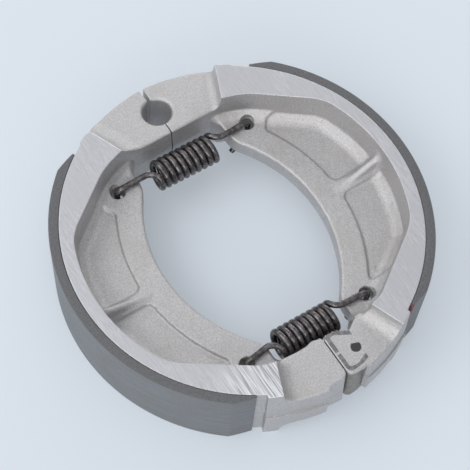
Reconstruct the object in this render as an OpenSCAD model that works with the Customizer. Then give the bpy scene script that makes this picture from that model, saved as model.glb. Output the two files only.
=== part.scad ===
// A pair of drum brake shoes, drawn together by two return springs.
// X runs from the left shoe to the right one, Y from the cam to the anchor pin,
// and Z along the drum's axis. The origin is on the axis of the anchor bore,
// halfway across the width. The shoes lie closed, as they do with no cam between them.

/* [Drum and lining] */
// Inner diameter of the drum that the linings open into
drum_d = 110; // [92:1:132]
// Width of the rim and the lining along the drum's axis
shoe_w = 25; // [20:0.5:32]
// Thickness of the lining
lining_t = 2.7; // [2.2:0.1:4]
// Angle round the arc from the anchor to the lining's first end
lining_from = 36.5; // [34:0.5:60]
// Angle round the arc from the anchor to the lining's last end
lining_to = 149.5; // [120:0.5:150]
// Angle by which each lining is bonded off that place, towards the cam on the right
lining_slip = 0.7; // [0:0.1:1]
// Length of the bevel that leads into each end of the lining
lining_bevel = 6.5; // [2:0.5:12]
// Thickness left at the tip of that bevel
lining_tip_t = 0.7; // [0.3:0.1:1.5]

/* [Casting] */
// Thickness of the rim halfway round its arc
rim_t = 3.9; // [3:0.1:5]
// Thickness of the web
web_t = 5.6; // [4:0.1:7]
// Reach of the web inward from the rim halfway round
web_reach = 21.6; // [17:0.1:24]
// Radius of the web's inner edge
web_edge_r = 44; // [38:0.5:60]
// Width of the thick band along the web's inner edge
web_band = 7.2; // [6:0.1:9]
// Depth of the shallow pockets in each side of the web
pocket_depth = 0.8; // [0.3:0.1:1.2]
// Thickness of the rib between the two pockets
rib_t = 2.6; // [1.5:0.1:4]
// Thickness of the anchor boss and the cam block along the drum's axis
boss_t = 15.5; // [12:0.5:18]

/* [Anchor end] */
// Distance from the drum to the anchor pin's axis
anchor_depth = 10.1; // [9.5:0.1:12]
// Diameter of the anchor bore
anchor_d = 8.6; // [7:0.1:9]
// Metal between the anchor bore and the open middle
anchor_wall = 2.5; // [1.5:0.1:4]
// Distance from the parting plane to the boss's shoulder
anchor_shoulder = 19; // [17:0.5:24]
// Gap between the two webs beside the anchor boss
anchor_web_gap = 30; // [26:0.5:34]

/* [Cam end] */
// Thickness of the cam's flats, which hold the shoes apart when fitted
cam_t = 8; // [5:0.5:9]
// Distance from the drum to the inner wall of the cam block
cam_depth = 16.5; // [14:0.1:18]
// Distance from the parting plane to the block's shoulder
cam_shoulder = 17.8; // [16:0.1:22]
// Gap between the two webs beside the cam block
cam_web_gap = 25; // [23:0.5:30]
// Thickness of the steel wear plate in the right shoe
plate_t = 1.1; // [0.8:0.1:1.5]

/* [Return springs] */
// Diameter of the spring wire
wire_d = 1.8; // [1.4:0.1:2]
// Outer diameter of the coils
coil_d = 9.3; // [8:0.1:9.6]

/* [Fit] */
// Gap between the two castings where they meet at rest
face_gap = 0.3; // [0.2:0.05:0.6]
// Gap between neighbouring turns of a spring
turn_gap = 0.1; // [0.05:0.05:0.3]
// Gap between a spring's hook and the web under it
hook_gap = 0.1; // [0.05:0.05:0.3]
// Room all round the wire in the web's hole
hook_room = 1; // [0.8:0.1:1.4]

/* [Hidden] */

// Overshoot of cutting shapes, and a length longer than the whole object
eps = 1;
far = 2 * drum_d;

// Segments of full circles, rounded corners and short curves
round_fn = 160;
bore_fn = 96;
hole_fn = 48;
corner_steps = 8;
short_steps = 6;

// Radii about a shoe's own arc centre
lining_r = drum_d / 2;
rim_r = lining_r - lining_t;
rim_inner_r = rim_r - rim_t;

// The shoes turn about the anchor pin, so a closed shoe's arc centre is off the drum's
anchor_y = lining_r - anchor_depth;
cam_wall_y = -(lining_r - cam_depth);
cam_touch_in = 1.5;
cam_touch_y = -(lining_r - cam_depth / 2 - cam_touch_in);
close_deg = asin(cam_t / 2 / (anchor_y - cam_touch_y));
arc_centre = [-anchor_y * sin(close_deg), anchor_y * (1 - cos(close_deg))];

// Walls and sloping shoulders round the open middle; the block's wall stands
// further in than the rim's, and meets it at a bevel
anchor_wall_y = anchor_y - anchor_d / 2 - anchor_wall;
anchor_slope = 37;
cam_slope = 34;
anchor_corner_r = 3;
cam_corner_r = 14;
block_step = 1.1;
block_bevel = 2.5;
rim_wall_y = cam_wall_y - block_step;

// Ends of the full-width rim: the lean of each end from Y, its run down to the boss,
// and how far inside the shoulder it starts
anchor_lean = 23;
anchor_run = 2;
anchor_end_in = 1.5;
anchor_rim_x = anchor_shoulder - anchor_end_in;
cam_lean = 21.7;
cam_run = 4.5;
cam_end_in = 2.2;
cam_rim_x = cam_shoulder - cam_end_in;

// Outer wall of the casting's bare ends, by angle about the arc centre
boss_proud = 1.7;
boss_to = 23.5;
land_proud = 0.5;
land_to = 31.5;
block_proud = 1.2;
block_from = 151.9;
block_to = 171;
ring_past = 20;

// Height at which the two halves of the mould meet on the block's wall, and how far
// the upper half stands past the lower one
mould_z = 0.5;
mould_step = 0.5;

// Anchor bore, with its small vee reliefs at the parting plane
anchor_vee_depth = 0.6;
anchor_vee_half = 18;
anchor_bevel = 0.6;
split_relief = 3.5;

// Cam block's nose: how far it runs, and its outer wall a little inside the rim's
nose_x = 5.2;
nose_step = 0.9;
nose_fall = 0.3;
nose_corner_r = 2;
nose_r = rim_r - nose_step;
nose_low_y = arc_centre[1] - sqrt(nose_r * nose_r - pow(face_gap / 2 - arc_centre[0], 2));

// Wear plate: how far it lies inside the nose, the lip left over it, and its legs' ends
plate_inset = 0.35;
plate_lip = 1;
plate_leg_x = 7.4;

// Web and its pockets
web_edge_x = arc_centre[0] + rim_inner_r - web_reach - web_edge_r;
pocket_margin = 1.2;
pocket_corner_r = 2;
pocket_clear_a = 3;
pocket_clear_c = 2.8;
rib_y = -1.5;
rib_half = 2.3;
rib_rise = 6;
rib_run = 13;
rib_root = 0.2;

// Springs: where each coil lies, its room between the webs and its two ends
coil_r = (coil_d - wire_d) / 2;
pitch = wire_d + turn_gap;
coil_lift = 0.95;
anchor_coil_shift = 0.1;
cam_coil_shift = -0.3;
anchor_coil_gap = 3.1;
cam_coil_gap = 0.75;
anchor_side_gap = 5.4;
cam_side_gap = 2.9;
anchor_hook_y = anchor_wall_y - anchor_coil_gap - coil_d / 2;
cam_hook_y = cam_wall_y + cam_coil_gap + coil_d / 2;
hook_z = web_t / 2 + hook_gap + wire_d / 2;
hook_hole_d = wire_d + 2 * hook_room;
hook_inner_r = 1.3;
hook_bend_r = hook_inner_r + wire_d / 2;
hook_off = 0.3;
hook_tail_deg = 55;
hook_tail = 5.2;
hook_level = 3.3;
end_reach = 1.6;
start_deg = 150;
end_deg = 30;

// Segments round the wire, along each turn, and along the hook's two bends
wire_sides = 8;
turn_steps = 14;
over_steps = 5;
under_steps = 4;

// X of the hook's hole, on the line along the middle of the web at height y
function hole_x(y) = web_edge_x + sqrt(pow(web_edge_r + web_band, 2) - y * y);

// Points along an arc
function arc(c, r, from, to, n) =
    [for (i = [0:n]) c + r * [cos(from + (to - from) * i / n), sin(from + (to - from) * i / n)]];

// Points that round the corner b between a and c with radius r
function corner(a, b, c, r) =
    let (u = (a - b) / norm(a - b),
         v = (c - b) / norm(c - b),
         half = acos(u * v) / 2,
         centre = b + (u + v) / norm(u + v) * r / sin(half),
         p = b + u * r / tan(half) - centre,
         q = b + v * r / tan(half) - centre,
         from = atan2(p[1], p[0]),
         turn = atan2(p[0] * q[1] - p[1] * q[0], p * q))
    arc(centre, r, from, from + turn, corner_steps);

// A polygon whose corners are rounded, each given as [x, y, radius]
module rounded(list) {
    n = len(list);
    flat = [for (p = list) [p[0], p[1]]];
    polygon([for (i = [0:n - 1])
        each list[i][2] > 0
            ? corner(flat[(i + n - 1) % n], flat[i], flat[(i + 1) % n], list[i][2])
            : [flat[i]]]);
}

// Part of a disc about the right shoe's arc centre, between two angles from the anchor
module sector(r, from, to) {
    translate(arc_centre) intersection() {
        circle(r, $fn = round_fn);
        polygon(concat([[0, 0]], arc([0, 0], far, 90 - from, 90 - to, short_steps)));
    }
}

// Everything is drawn about the drum's axis and then moved to the anchor's
module from_anchor() {
    translate([0, -anchor_y, 0]) children();
}

// The left shoe is the right one turned over about Y
module turned_over() {
    rotate([0, 180, 0]) children();
}

// A slab of a flat outline between two heights
module level(from, to) {
    translate([0, 0, from]) linear_extrude(to - from) children();
}

// The open middle, bounded by the boss, the two sloping shoulders and the rim
module window() {
    peak_x = (anchor_wall_y - rim_wall_y + anchor_shoulder * tan(anchor_slope)
              + cam_shoulder * tan(cam_slope)) / (tan(anchor_slope) + tan(cam_slope));
    peak_y = rim_wall_y + (peak_x - cam_shoulder) * tan(cam_slope);
    intersection() {
        translate(arc_centre) circle(rim_inner_r, $fn = round_fn);
        rounded([
            [-anchor_shoulder, anchor_wall_y, 0],
            [anchor_shoulder, anchor_wall_y, anchor_corner_r],
            [peak_x, peak_y, 0],
            [cam_shoulder, rim_wall_y, cam_corner_r],
            [-cam_shoulder, rim_wall_y, 0],
        ]);
    }
}

// The side of the parting plane that belongs to the right shoe
module right_side() {
    lean = far * tan(split_relief);
    polygon([
        [face_gap / 2, -far],
        [face_gap / 2, anchor_y],
        [face_gap / 2 + lean, anchor_y + far],
        [far, anchor_y + far],
        [far, -far],
    ]);
}

// Outline of the rim, the boss and the block before their ends are thinned
module ring_outline() {
    difference() {
        union() {
            sector(rim_r, -ring_past, 180 + ring_past);
            sector(rim_r + land_proud, -ring_past, land_to);
            sector(rim_r + boss_proud, -ring_past, boss_to);
        }
        window();
    }
}

// Side view of one end: full width beyond the line, boss width before it, and a
// hollow ramp between them
module end_profile(run) {
    n = short_steps;
    drop = (shoe_w - boss_t) / 2;
    ramp = [for (i = [0:n])
        [-run * (1 - sin(90 * i / n)), boss_t / 2 + drop * (1 - cos(90 * i / n))]];
    top = concat([[-far, boss_t / 2]], ramp, [[far, shoe_w / 2]]);
    bottom = [for (i = [len(top) - 1:-1:0]) [top[i][0], -top[i][1]]];
    rotate([90, 0, 0]) linear_extrude(2 * far, center = true) polygon(concat(top, bottom));
}

// The block's inner wall stands a little further in than the rim's
module block_wall() {
    polygon([
        [0, cam_wall_y],
        [cam_rim_x - block_bevel, cam_wall_y],
        [cam_rim_x, rim_wall_y - eps],
        [0, rim_wall_y - eps],
    ]);
}

// The corners and the thinner outer wall of the block's nose
module nose_cut() {
    difference() {
        translate([-eps, -lining_r]) square([nose_x + eps, lining_r + cam_wall_y + eps]);
        rounded([
            [face_gap / 2, cam_wall_y, nose_corner_r],
            [face_gap / 2, nose_low_y, nose_corner_r],
            [nose_x + 2 * eps, nose_low_y - nose_fall, 0],
            [nose_x + 2 * eps, cam_wall_y, 0],
        ]);
    }
}

// The vee reliefs on both sides of the anchor bore, in plan
module vee_outline() {
    s = anchor_d / 2 * sin(anchor_vee_half);
    c = anchor_d / 2 * cos(anchor_vee_half);
    peak = anchor_d / 2 + anchor_vee_depth;
    translate([0, anchor_y])
        polygon([[0, -peak], [s, -c], [s, c], [0, peak], [-s, c], [-s, -c]]);
}

// The anchor bore, bevelled at both ends, with its reliefs
module bore_cut() {
    level(-boss_t, boss_t) vee_outline();
    translate([0, anchor_y, 0]) {
        cylinder(h = 2 * boss_t, d = anchor_d, center = true, $fn = bore_fn);
        for (side = [-1, 1])
            rotate([90 - 90 * side, 0, 0])
                translate([0, 0, boss_t / 2 - anchor_bevel])
                    cylinder(h = anchor_bevel + eps, r1 = anchor_d / 2,
                             r2 = anchor_d / 2 + anchor_bevel + eps, $fn = bore_fn);
    }
}

// The web between the rim and its inner edge
module web_outline() {
    difference() {
        intersection() {
            sector(rim_inner_r + eps, 0, 180);
            translate([0, rim_wall_y - eps])
                square([far, anchor_wall_y - rim_wall_y + 2 * eps]);
        }
        translate([web_edge_x, 0]) circle(web_edge_r, $fn = round_fn);
        square([anchor_web_gap / 2, far]);
        translate([0, -far]) square([cam_web_gap / 2, far]);
    }
}

// A shallow pocket in plan between two heights, bounded by the shoulder line that
// passes through [x, y] at the given slope
module pocket(from_y, to_y, x, y, slope) {
    inner_r = web_edge_r + web_band;
    inner = [for (v = [from_y, to_y]) [hole_x(v), v]];
    outer = [for (v = [from_y, to_y]) [x + abs(y - v) / tan(slope), v]];
    intersection() {
        difference() {
            translate(arc_centre) circle(rim_inner_r - pocket_margin, $fn = round_fn);
            translate([web_edge_x, 0]) circle(inner_r, $fn = round_fn);
        }
        rounded([
            [inner[0][0], from_y, pocket_corner_r],
            [outer[0][0], from_y, 0],
            [outer[1][0], to_y, 0],
            [inner[1][0] - eps, to_y, 0],
            [inner[1][0] - eps, (from_y + to_y) / 2, 0],
        ]);
    }
}

// The two shallow pockets, either side of the rib
module pockets() {
    pocket(rib_y + rib_half, anchor_hook_y - pocket_clear_a, anchor_shoulder,
           anchor_wall_y - pocket_margin / cos(anchor_slope), anchor_slope);
    pocket(rib_y - rib_half, cam_hook_y + pocket_clear_c, cam_shoulder,
           rim_wall_y + pocket_margin / cos(cam_slope), cam_slope);
}

// A rib that climbs from the web to the rim
module rib() {
    foot = arc_centre[0] + rim_inner_r - rib_run;
    for (side = [0, 180])
        rotate([side, 0, 0])
            translate([foot, cos(side) * rib_y + rib_t / 2, 0])
                rotate([90, 0, 0])
                    linear_extrude(rib_t)
                        polygon([[-eps, 0], [rib_run + eps, 0],
                                 [rib_run + eps, web_t / 2 + rib_rise],
                                 [rib_run, web_t / 2 + rib_rise],
                                 [0, web_t / 2 - rib_root], [-eps, web_t / 2 - rib_root]]);
}

// Holes for the springs' hooks
module hook_holes() {
    for (y = [anchor_hook_y, cam_hook_y])
        translate([hole_x(y), y, 0])
            cylinder(h = 2 * web_t, d = hook_hole_d, center = true, $fn = hole_fn);
}

// The cam block's outer wall, from one height up, which stands proud of the rim
module proud_wall(proud, from_z) {
    intersection() {
        level(from_z, shoe_w / 2) intersection() {
            difference() {
                sector(rim_r + proud, block_from, block_to);
                window();
            }
            right_side();
        }
        cam_end();
    }
}

// What lies outside the ramps at the two ends of the rim
module anchor_end() {
    translate([anchor_rim_x, anchor_wall_y, 0])
        rotate([0, 0, -anchor_lean]) end_profile(anchor_run);
}

module cam_end() {
    translate([cam_rim_x, rim_wall_y, 0])
        rotate([0, 0, cam_lean]) end_profile(cam_run);
}

// The casting as it lies on the right
module casting() {
    difference() {
        union() {
            intersection() {
                level(-shoe_w / 2, shoe_w / 2) intersection() {
                    ring_outline();
                    right_side();
                }
                anchor_end();
                cam_end();
            }
            level(-boss_t / 2, boss_t / 2) intersection() {
                block_wall();
                right_side();
            }
            proud_wall(block_proud, -shoe_w / 2);
            proud_wall(block_proud + mould_step, mould_z);
            difference() {
                level(-web_t / 2, web_t / 2) web_outline();
                level(web_t / 2 - pocket_depth, web_t) pockets();
                level(-web_t, pocket_depth - web_t / 2) pockets();
            }
            rib();
        }
        bore_cut();
        hook_holes();
        level(-shoe_w, shoe_w) nose_cut();
    }
}

// Plan of the bent wear plate round the right shoe's nose, grown outward by a skin
module plate_outline(skin) {
    x0 = face_gap / 2 + plate_inset - skin;
    y0 = nose_low_y + plate_inset - skin;
    y1 = cam_wall_y - plate_inset + skin;
    inner_r = nose_corner_r - plate_t;
    difference() {
        rounded([
            [x0, y1, nose_corner_r],
            [x0, y0, nose_corner_r],
            [plate_leg_x, y0, 0],
            [plate_leg_x, y1, 0],
        ]);
        rounded([
            [x0 + plate_t + skin, y1 - plate_t - skin, inner_r],
            [x0 + plate_t + skin, y0 + plate_t + skin, inner_r],
            [plate_leg_x + eps, y0 + plate_t + skin, 0],
            [plate_leg_x + eps, y1 - plate_t - skin, 0],
        ]);
    }
}

// Sweep of a round wire along a list of points
module wire(path) {
    n = len(path);
    tangent = [for (i = [0:n - 1])
        let (d = path[min(i + 1, n - 1)] - path[max(i - 1, 0)]) d / norm(d)];
    side = [for (i = 0, s = [0, 1, 0]; i < n;
                 i = i + 1, s = i < n ? level_to(s, tangent[i]) : s)
        level_to(s, tangent[i])];
    points = [for (i = [0:n - 1], k = [0:wire_sides - 1])
        let (a = 360 * k / wire_sides, up = cross(tangent[i], side[i]))
        path[i] + wire_d / 2 * (cos(a) * side[i] + sin(a) * up)];
    walls = [for (i = [0:n - 2], k = [0:wire_sides - 1])
        let (a = i * wire_sides + k, b = i * wire_sides + (k + 1) % wire_sides)
        [a, a + wire_sides, b + wire_sides, b]];
    first = [for (k = [0:wire_sides - 1]) k];
    last = [for (k = [wire_sides - 1:-1:0]) (n - 1) * wire_sides + k];
    polyhedron(points, concat(walls, [first, last]), convexity = 20);
}

// The direction s made square to the tangent t
function level_to(s, t) = let (p = s - (s * t) * t) p / norm(p);

// Points of a smooth curve from a to d, with the handles b and c
function curve(a, b, c, d, n) =
    [for (i = [1:n - 1]) let (t = i / n, u = 1 - t)
        u * u * u * a + 3 * u * u * t * b + 3 * u * t * t * c + t * t * t * d];

// Points of one hook, from its level run through the hole to its tip
function hook(y, from_x, sign) =
    let (centre = hole_x(y) + hook_off - hook_bend_r,
         drop = hook_z - hook_bend_r,
         over = arc([centre, drop], hook_bend_r, 90, 0, over_steps),
         under = arc([centre, -drop], hook_bend_r, 0, -hook_tail_deg, under_steps),
         tip = under[under_steps] - hook_tail * [sin(hook_tail_deg), cos(hook_tail_deg)],
         plane = concat([[from_x, hook_z], [(from_x + centre) / 2, hook_z]], over, under, [tip]))
    [for (p = plane) [sign * p[0], y, p[1]]];

// Centre line of a spring whose coil lies between the webs at height y, shifted along X
function spring_path(y, web_gap, side_gap, shift) =
    let (turns = floor((web_gap - 2 * side_gap) / pitch),
         half = pitch * turns / 2,
         sweep = 360 * turns + end_deg - start_deg,
         steps = ceil(turn_steps * sweep / 360),
         coil = [for (i = [0:steps])
             let (a = start_deg + sweep * i / steps)
             [shift - half + 2 * half * i / steps, y + coil_r * cos(a),
              coil_lift + coil_r * sin(a)]],
         left_x = half - shift + hook_level,
         right_x = half + shift + hook_level,
         left = hook(y, left_x, -1),
         right = hook(y, right_x, 1),
         out_l = end_reach * [0, sin(start_deg), -cos(start_deg)],
         out_r = end_reach * [0, -sin(end_deg), cos(end_deg)],
         along = [end_reach, 0, 0])
    concat([for (i = [len(left) - 1:-1:0]) left[i]],
           curve(left[0], left[0] + along, coil[0] + out_l, coil[0], short_steps),
           coil,
           curve(coil[steps], coil[steps] + out_r, right[0] - along, right[0], short_steps),
           right);

// The lining: a bonded strip with a bevel at each end, turned by slip about the arc centre
module lining(slip) {
    bevel_deg = lining_bevel / lining_r * 180 / PI;
    tip_r = rim_r + lining_tip_t;
    first = 90 - lining_from - slip;
    last = 90 - lining_to - slip;
    first_full = first - bevel_deg;
    last_full = last + bevel_deg;
    level(-shoe_w / 2, shoe_w / 2) translate(arc_centre) difference() {
        intersection() {
            circle(lining_r, $fn = round_fn);
            polygon(concat([[0, 0], tip_r * unit(first), lining_r * unit(first_full)],
                           arc([0, 0], far, first_full, last_full, short_steps),
                           [lining_r * unit(last_full), tip_r * unit(last)]));
        }
        circle(rim_r, $fn = round_fn);
    }
}

// The direction at an angle from X
function unit(a) = [cos(a), sin(a)];

module left_shoe() {
    color("silver") from_anchor() turned_over() casting();
}

module left_lining() {
    color("dimgray") from_anchor() turned_over() lining(-lining_slip);
}

module right_shoe() {
    color("silver") from_anchor() difference() {
        casting();
        level(-shoe_w, boss_t / 2 - plate_lip) plate_outline(plate_inset);
        level(-shoe_w, shoe_w) plate_outline(0);
    }
}

module right_lining() {
    color("dimgray") from_anchor() lining(lining_slip);
}

module cam_plate() {
    color("darkgray") from_anchor() level(-boss_t / 2, boss_t / 2) plate_outline(0);
}

module anchor_spring() {
    color([0.16, 0.14, 0.13]) from_anchor()
        wire(spring_path(anchor_hook_y, anchor_web_gap, anchor_side_gap, anchor_coil_shift));
}

module cam_spring() {
    color([0.16, 0.14, 0.13]) from_anchor()
        wire(spring_path(cam_hook_y, cam_web_gap, cam_side_gap, cam_coil_shift));
}

left_shoe();
left_lining();
right_shoe();
right_lining();
cam_plate();
anchor_spring();
cam_spring();
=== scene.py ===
import math

import bmesh
import bpy
import numpy as np
from mathutils import Matrix, Vector


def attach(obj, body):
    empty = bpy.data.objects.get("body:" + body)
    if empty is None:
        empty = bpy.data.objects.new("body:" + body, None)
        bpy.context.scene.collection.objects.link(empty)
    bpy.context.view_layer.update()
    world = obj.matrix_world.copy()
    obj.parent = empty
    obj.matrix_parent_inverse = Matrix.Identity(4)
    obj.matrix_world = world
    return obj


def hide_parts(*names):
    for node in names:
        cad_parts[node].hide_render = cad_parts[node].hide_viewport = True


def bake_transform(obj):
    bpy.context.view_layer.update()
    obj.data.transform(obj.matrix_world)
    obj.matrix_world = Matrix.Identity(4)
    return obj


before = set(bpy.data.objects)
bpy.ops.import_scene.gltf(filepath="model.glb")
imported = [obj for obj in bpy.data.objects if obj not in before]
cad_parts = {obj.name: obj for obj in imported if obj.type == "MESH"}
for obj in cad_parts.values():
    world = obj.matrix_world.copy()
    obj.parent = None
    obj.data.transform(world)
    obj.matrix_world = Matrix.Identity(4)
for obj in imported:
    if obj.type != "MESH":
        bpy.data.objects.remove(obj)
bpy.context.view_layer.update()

# Sizes are in millimetres in the drum's frame, as in the CAD source: +Y runs to the
# anchor, Z from the middle of the width, and the right shoe lies on +X. to_row() moves
# points to the row frame, whose origin is the anchor bore.
MM = 0.001
ANCHOR_Y = 44.9

# Radii of a shoe about its own arc centre
CX, CY = -1.992, 0.044
LINING_R = 55.0
RIM_R = 52.3
RIM_IN_R = 48.4
HALF_W = 12.5
BOSS_H = 7.75
WEB_H = 2.8

# The open middle: its walls, sloping shoulders and eased corners
ANCHOR_WALL_Y, ANCHOR_SHOULDER, ANCHOR_SLOPE = 38.1, 19.0, 37.0
ANCHOR_WALL_IN, ANCHOR_BEND_R = 0.8, 5.0
CAM_WALL_Y, CAM_SHOULDER, CAM_SLOPE = -38.5, 17.8, 34.0
RIM_WALL_Y, CAM_BEND_R = -39.6, 2.1
RING_BEND_R = 1.6
WALL_DRAFT = 0.085

# Outer wall at the bare ends, with angles in degrees from the anchor and the half widths of
# its soft steps; the mould's two halves meet a little above the middle
LAND_PROUD, LAND_TO, LAND_SOFT = 0.5, 31.5, 0.3
BOSS_PROUD, BOSS_FROM, BOSS_TO = 1.7, 22.0, 27.5
BLOCK_PROUD, BLOCK_FROM, BLOCK_SOFT = 1.2, 151.9, 0.2
NOSE_PROUD, NOSE_FROM, NOSE_SOFT = 0.3, 171.0, 0.25
MOULD_Z, MOULD_STEP, MOULD_SOFT = 0.5, 0.5, 0.2
OUTER_DRAFT, BLOCK_DRAFT = 0.012, 0.02

# Ramps from the rim's faces down to the boss and the block
ANCHOR_RIM_X, ANCHOR_LEAN, END_CORNER_R = 17.5, 23.0, 2.2
CAM_RIM_X, CAM_LEAN, CAM_FOOT_R = 15.6, 21.7, 4.2
STEEP_RAMP, GENTLE_RAMP, CAM_RAMP = 0.2, 0.8, 0.06
STEEP_FOOT_R, GENTLE_FOOT_R, RAMP_EDGE_R = 2.2, 3.4, 0.12

# Inner wall of the cam block: how far in from the rim's, its flare, its low knob at the
# nose and its bevelled end
BLOCK_IN, FLARE_FROM, FLARE = 0.2, 8.0, 0.1
KNOB_X, KNOB_W, KNOB_H = 2.9, 1.3, 0.5
BLOCK_END, BLOCK_END_DEG, BLOCK_EDGE_R = 2.3, 50.0, 0.6
BLOCK_IN_DRAFT = 0.05
BLOCK_MID_Y = -46.0

# Web, pockets, rib and hook holes
WEB_EDGE_X, WEB_EDGE_R, WEB_BAND = -19.19, 44.0, 7.2
WEB_DRAFT, WEB_CORNER_R, WEB_LIP_R, WEB_TO_R = 0.07, 1.6, 0.65, 50.0
ANCHOR_GAP_X, CAM_GAP_X = 15.1, 12.5
FOOT_BEVEL, FOOT_R, WEB_FILLET = 2.3, 0.3, 0.9
POCKET_DEPTH, POCKET_RIB_GAP, POCKET_R = 0.8, 2.0, 2.3
POCKET_KEEP_A, POCKET_KEEP_A_BELOW, POCKET_KEEP_C = 5.3, 5.9, 4.4
POCKET_END_A, POCKET_END_C = 1.4, 2.2
RIB_Y, RIB_FOOT_X, RIB_SLOPE, RIB_TO_R = -1.5, 33.4, 0.477, 49.5
RIB_HALF_W, RIB_DRAFT, RIB_EDGE_R, RIB_FILLET = 0.8, 0.26, 0.7, 1.9
HOLE_R, HOLE_BEVEL, HOLE_FLARE = 1.9, 0.5, 0.8
PIN_MARK, PIN_MARK_R, PIN_MARK_DEPTH = (27.6, -28.6), 1.25, 0.16
SKIN_WAVE = 0.02
RIM_EASE = 0.28


def on_band(y):
    return WEB_EDGE_X + math.sqrt((WEB_EDGE_R + WEB_BAND) ** 2 - y * y), y


HOLE_A = on_band(30.35)
HOLE_C = on_band(-33.1)

# Bore, its reliefs at the split, and the parting plane
BORE_R, BORE_BEVEL = 4.3, 0.6
VEE_TIP, VEE_SLOPE, VEE_HALF_W = 4.9, 0.609, 1.33
SPLIT_X, SPLIT_LEAN, SPLIT_EDGE_R = 0.15, 3.5, 0.3

# Nose of the cam block, and the bent wear plate in the right shoe's one. A flank of the
# plate is a point on it and the direction that it faces, in degrees.
NOSE_X, NOSE_LOW_Y, NOSE_HIGH_Y, NOSE_R = 5.9, -51.45, -38.2, 1.7
NOSE_DRAFT, NOSE_EDGE_R = 0.08, 0.3
PLATED_LOWER, PLATED_TILT = 0.25, 0.05
PLATE_T, PLATE_SKIN, PLATE_LEG_X, PLATE_LIP = 1.2, 0.35, 7.5, 1.0
PLATE_CLEAR, PLATE_EDGE_R = 0.03, 0.12
PLATE_TOP_Y, PLATE_SHOULDER, PLATE_SHOULDER_R = -38.85, (3.6, -38.9, 60), 1.2
PLATE_FOOT, PLATE_HEEL, PLATE_HEEL_R = (1.2, -51.0, -98), (4.3, -51.4, -67), 1.5
PLATE_TOP_R, PLATE_FOOT_R = 1.7, 1.6
NOTCH, NOTCH_R = (7.7, -41.0, 125), 1.0
BLOCK_TO_X, BLOCK_TO_Y = 11, -30
NECK_Y, NECK_HALF_W, NECK_DEPTH = -45.0, 0.3, 0.4

# A distance so deep inside that it never decides
DEEP = -20


# Distance functions: negative inside. join() and cut() are a union with a fillet and an
# intersection with a rounded edge.
def ramp(v, lo, hi):
    t = np.clip((v - lo) / (hi - lo), 0, 1)
    return t * t * (3 - 2 * t)


def join(a, b, r):
    return np.maximum(r, np.minimum(a, b)) - np.hypot(np.maximum(r - a, 0), np.maximum(r - b, 0))


def cut(a, b, r):
    return np.minimum(-r, np.maximum(a, b)) + np.hypot(np.maximum(r + a, 0), np.maximum(r + b, 0))


def line(x, y, px, py, deg):
    a = math.radians(deg)
    return (x - px) * math.cos(a) + (y - py) * math.sin(a)


def soft_step(v, at, soft):
    return ramp(v, at - soft, at + soft)


def window(x, y):
    shoulder = line(x, y, ANCHOR_SHOULDER, ANCHOR_WALL_Y, 90 - ANCHOR_SLOPE)
    top = cut(y - ANCHOR_WALL_Y + ANCHOR_WALL_IN, shoulder, ANCHOR_BEND_R)
    low = cut(RIM_WALL_Y - y, line(x, y, CAM_SHOULDER, RIM_WALL_Y, CAM_SLOPE - 90), CAM_BEND_R)
    ring = np.hypot(x - CX, y - CY) - RIM_IN_R
    return cut(cut(top, ring, RING_BEND_R), low, RING_BEND_R)


def pockets(x, y, z):
    """The web's two shallow pockets, from the rib to round the hook holes."""
    band = WEB_EDGE_R + WEB_BAND + 0.1 - np.hypot(x - WEB_EDGE_X, y)
    keep_a = np.where(z > 0, POCKET_KEEP_A, POCKET_KEEP_A_BELOW)
    near_a = keep_a - np.hypot(x - HOLE_A[0], y - HOLE_A[1])
    near_c = POCKET_KEEP_C - np.hypot(x - HOLE_C[0], y - HOLE_C[1])
    end_a = cut(near_a, y - HOLE_A[1] + POCKET_END_A, 1.0)
    end_c = cut(near_c, HOLE_C[1] + POCKET_END_C - y, 0.8)
    upper = cut(band, RIB_Y + POCKET_RIB_GAP - y, POCKET_R)
    lower = cut(band, y - RIB_Y + POCKET_RIB_GAP, POCKET_R)
    return np.minimum(cut(upper, end_a, np.where(z > 0, 1.0, 1.8)), cut(lower, end_c, 1.4))


def plate_hull(x, y, z):
    """All that lies inside the wear plate's outer face, which leans out towards its foot."""
    top = cut(y - PLATE_TOP_Y, line(x, y, *PLATE_SHOULDER), PLATE_SHOULDER_R)
    end_y = y + NOSE_DRAFT * (BOSS_H - z)
    foot = cut(line(x, end_y, *PLATE_FOOT), line(x, end_y, *PLATE_HEEL), PLATE_HEEL_R)
    return cut(cut(SPLIT_X + PLATE_SKIN - x, top, PLATE_TOP_R), foot, PLATE_FOOT_R)


def plate_band(x, y, z):
    hull = plate_hull(x, y, z)
    return np.maximum(np.maximum(hull, -hull - PLATE_T), x - PLATE_LEG_X)


def wear_plate(x, y, z):
    return cut(plate_band(x, y, z), np.abs(z) - BOSS_H + PLATE_CLEAR, PLATE_EDGE_R)


def outer_wall(rho, ang, z, plated):
    """The wall under the lining and at the bare ends; the block's lower half is prouder."""
    down, mould_down = (-z, -MOULD_Z) if plated else (z, MOULD_Z)
    on_block = soft_step(ang, BLOCK_FROM, BLOCK_SOFT) * (1 - soft_step(ang, NOSE_FROM, NOSE_SOFT))
    wall = (RIM_R + LAND_PROUD * (1 - soft_step(ang, LAND_TO, LAND_SOFT))
            + (BOSS_PROUD - LAND_PROUD) * (1 - ramp(ang, BOSS_FROM, BOSS_TO))
            + NOSE_PROUD * soft_step(ang, NOSE_FROM, NOSE_SOFT)
            + on_block * (BLOCK_PROUD + MOULD_STEP * soft_step(down, mould_down, MOULD_SOFT)))
    return rho - wall + (OUTER_DRAFT + BLOCK_DRAFT * on_block) * np.abs(z - MOULD_Z)


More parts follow.
